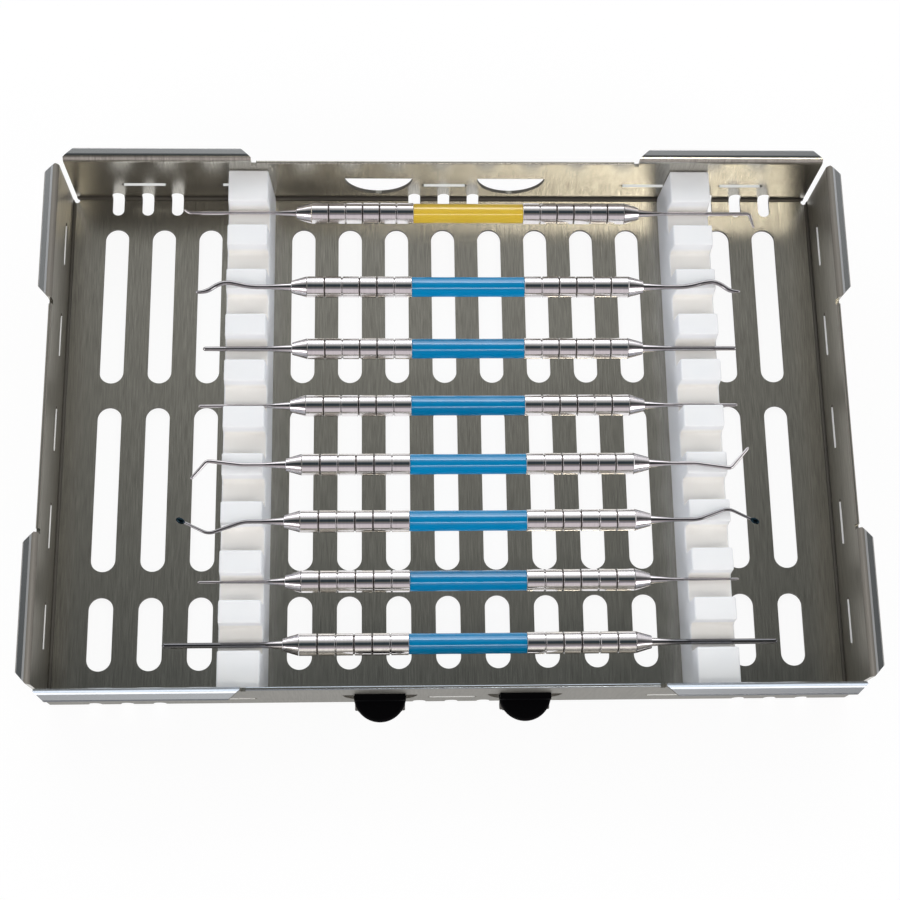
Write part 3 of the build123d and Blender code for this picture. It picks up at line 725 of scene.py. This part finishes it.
sleeve_finishes = {"blue": lacquered("lacquered_blue_polymer", "#0087c0", "#0093cc"),
                   "yellow": lacquered("lacquered_yellow_polymer", "#ffd446", "#ffdb50")}
sleeve_light = bpy.data.collections.new("lit_by_sleeve_strips")
for strip in sleeve_strips:
    holder = soft_box(*strip)
    holder.visible_diffuse = False      # it is for the lacquer's mirror lines alone
    holder.light_linking.receiver_collection = sleeve_light
for number in range(1, instrument_count + 1):
    low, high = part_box(f"sleeve_{number}")
    hue = "yellow" if number == 1 else "blue"
    profile = sleeve_profile((high.x - low.x) / 2, core_radius, (high.z - low.z) / 2)
    tube = turned("tube", (low + high) / 2, profile, True)
    sleeve = piece(f"{hue}_sleeve_{number}", [tube], sleeve_finishes[hue],
                   f"instrument_{number}", [f"sleeve_{number}"])
    sleeve.visible_glossy = False
    sleeve_light.objects.link(sleeve)

# ---------------------------------------------------------------- tips
# Each tip is ground from one rod: a tang that stands in the handle's bore, a cone, a shank that
# thins down, and a working end that is bent, pointed, blunt or beaded.
tang_radius = 1.25 * mm
tang_length = 8.7 * mm
cone_length = 4.5 * mm
cone_end_radius = 1.75 * mm
shank_root_radius = 1.15 * mm
shank_taper = 6.0 * mm
step_length = 0.15 * mm             # a step in the profile is a slope this long
tip_steps = 28                      # points round a tip
route_step = 0.20 * mm              # distance between rings along the shank
bead_stretch = 1.60                 # a bead is this much longer than it is wide
end_floor = 0.02                    # keeps the last ring open: smallest (radius / full radius)^2
bead_floor = 0.01                   # the same for a bead
grinding_width = 0.15 * mm          # of the faint rings that grinding leaves
# Millimetres: shank radius, radius at the very end, length of the last taper, smoothing of the
# bends, bead radius; then how dark a painted reflection the shank carries, 0 to 1, and the points
# of the left and the right end (outwards from the cone, across the tray).
tips = (
    (0.55, 0.32, 5.0, 0.8, 0, 0.1,
     ((0, 0), (30.9, 0), (32.5, 1.2)), ((0, 0), (32.7, 0), (33.7, -4.4))),
    (0.65, 0.40, 3.5, 3.0, 0, 0.5,
     ((0, 0), (11.9, 0), (17.4, 1.5), (19.9, 1.5), (24.4, -2.1), (26.9, -1.5)),
     ((0, 0), (12.5, 0), (19.0, 1.8), (21.6, 1.7), (25.4, -2.0), (27.8, -1.2))),
    (0.75, 0.62, 12.0, 1.0, 0, 0.5, ((0, 0), (25.0, 0)), ((0, 0), (27.1, 0))),
    (0.55, 0.42, 14.0, 1.0, 0, 0.3, ((0, 0), (25.7, 0)), ((0, 0), (26.6, 0))),
    (0.55, 0.42, 7.0, 0.9, 0, 0.25,
     ((0, 0), (11.9, 0), (21.4, 1.2), (25.7, -4.0)),
     ((0, 0), (12.8, 0), (22.7, -1.4), (28.1, 4.6))),
    (0.55, 0.34, 17.0, 1.6, 0.85, 0.6,
     ((0, 0), (11.0, 0), (20.2, -3.3), (28.4, 0.7)),
     ((0, 0), (13.1, 0), (21.5, 3.1), (29.1, -0.7))),
    (0.48, 0.30, 12.0, 1.0, 0, 0.4, ((0, 0), (23.7, 0)), ((0, 0), (24.6, 0))),
    (0.75, 0.70, 2.0, 1.0, 0, 0.8, ((0, 0), (32.2, 0)), ((0, 0), (34.4, 0))),
)


def smooth_route(points, smoothing):
    """Points at even steps along a bent line, each averaged over a sliding window that rounds the
    bends. Beyond both ends the line runs straight on, so that the window is always full."""
    corners = np.array(points, dtype=float) * mm
    reach = np.append(0.0, np.cumsum(np.hypot(*np.diff(corners, axis=0).T)))
    window = int(smoothing * mm / route_step) * 2 + 1
    pad = window // 2
    distance = np.arange(-pad, int(reach[-1] / route_step) + 1 + pad) * route_step
    inside = np.clip(distance, 0.0, reach[-1])
    over = (distance - inside)[:, None]
    first, last = corners[1] - corners[0], corners[-1] - corners[-2]
    straight = np.where(over < 0, first / np.hypot(*first), last / np.hypot(*last)) * over
    sampled = straight + np.stack([np.interp(inside, reach, corners[:, axis]) for axis in (0, 1)],
                                  axis=-1)
    weights = np.ones(window) / window
    return np.stack([np.convolve(sampled[:, axis], weights, mode="valid") for axis in (0, 1)],
                    axis=-1)


def tip_mesh(name, shoulder, way, sizes, dark_reflection, points, handle_radius):
    """A tube of changing radius along the route: ring = centre + r (cos a x side + sin a x up).
    The radius thins evenly from root to shank and again over the last taper. At the end, and over
    a bead, it follows an ellipse: r x sqrt(1 - (distance from its middle / its half length)^2)."""
    shank_radius, end_radius, end_taper, smoothing, bead_radius = [value * mm for value in sizes]
    (before_x, before_y), (last_x, last_y) = points[-2:]
    longer = bead_radius / mm / math.hypot(last_x - before_x, last_y - before_y)
    last = (last_x + longer * (last_x - before_x), last_y + longer * (last_y - before_y))
    route = smooth_route((*points[:-1], last), smoothing / mm)
    run = np.arange(len(route)) * route_step
    to_end = run[-1] - run
    front = [(-tang_length, 0), (0, 0), (step_length, 0), (cone_length - step_length, 0)]
    line = np.concatenate([np.array(front), route + (cone_length, 0)])
    shank = np.interp(run, (0, shank_taper), (shank_root_radius, shank_radius))
    thinning = end_radius / shank_radius
    shank *= thinning + (1 - thinning) * np.clip(to_end / end_taper, 0.0, 1.0)
    past = 1 - np.clip(to_end / (end_radius + route_step), 0, 1)
    shank *= np.sqrt(np.clip(1 - past ** 2, end_floor, 1))
    radius = np.concatenate([(tang_radius, tang_radius, handle_radius, cone_end_radius), shank])
    bead_half = bead_stretch * bead_radius
    if bead_radius > 0:
        off_middle = (bead_half - to_end) / bead_half
        bead = bead_radius * np.sqrt(np.clip(1 - off_middle ** 2, bead_floor, None))
        radius[4:] = np.where(off_middle > 0, bead, np.maximum(shank, bead))
    heading = np.gradient(line, axis=0)
    heading /= np.hypot(*heading.T)[:, None]
    side = np.stack([-heading[:, 1], heading[:, 0], np.zeros(len(line))], axis=-1)
    centre = np.column_stack([line, np.zeros(len(line))])
    angle = np.linspace(0, 2 * np.pi, tip_steps, endpoint=False)[None, :, None]
    around = np.cos(angle) * side[:, None] + np.sin(angle) * np.array((0.0, 0.0, 1.0))
    grid = (centre[:, None] + radius[:, None, None] * around) * (way, 1.0, 1.0)
    # Painted dark reflection: it grows along the shank from the cone and covers the whole bead.
    painted_reflection = np.concatenate([np.zeros(4), dark_reflection * np.clip(run / shank_taper, 0, 1)])
    painted_reflection[4:][to_end < 2 * bead_half] = 1
    return skin(name, grid + np.array(shoulder), shade=painted_reflection)


# Ground and polished stainless: a darker mirror than the grips, and a painted blue-black reflection
# on the shanks and beads.
tip_steel = steel_surface("ground_tip_steel", "#cfc9cb", "#efeaec", "#16242b", (0.06, 0.14),
                          grinding_width)
for number, (*sizes, dark_reflection, left_points, right_points) in enumerate(tips, start=1):
    low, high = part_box(f"handle_{number}")
    middle = (low + high) / 2
    for way, end_name, points in ((-1, "left", left_points), (1, "right", right_points)):
        shoulder = (high.x if way > 0 else low.x, middle.y, middle.z)
        rod = tip_mesh("rod", shoulder, way, sizes, dark_reflection, points, (high.z - low.z) / 2)
        tip = piece(f"ground_tip_{end_name}_{number}", [rod], tip_steel, f"instrument_{number}",
                    [f"tip_{end_name}_{number}"])
        tip.visible_glossy = False
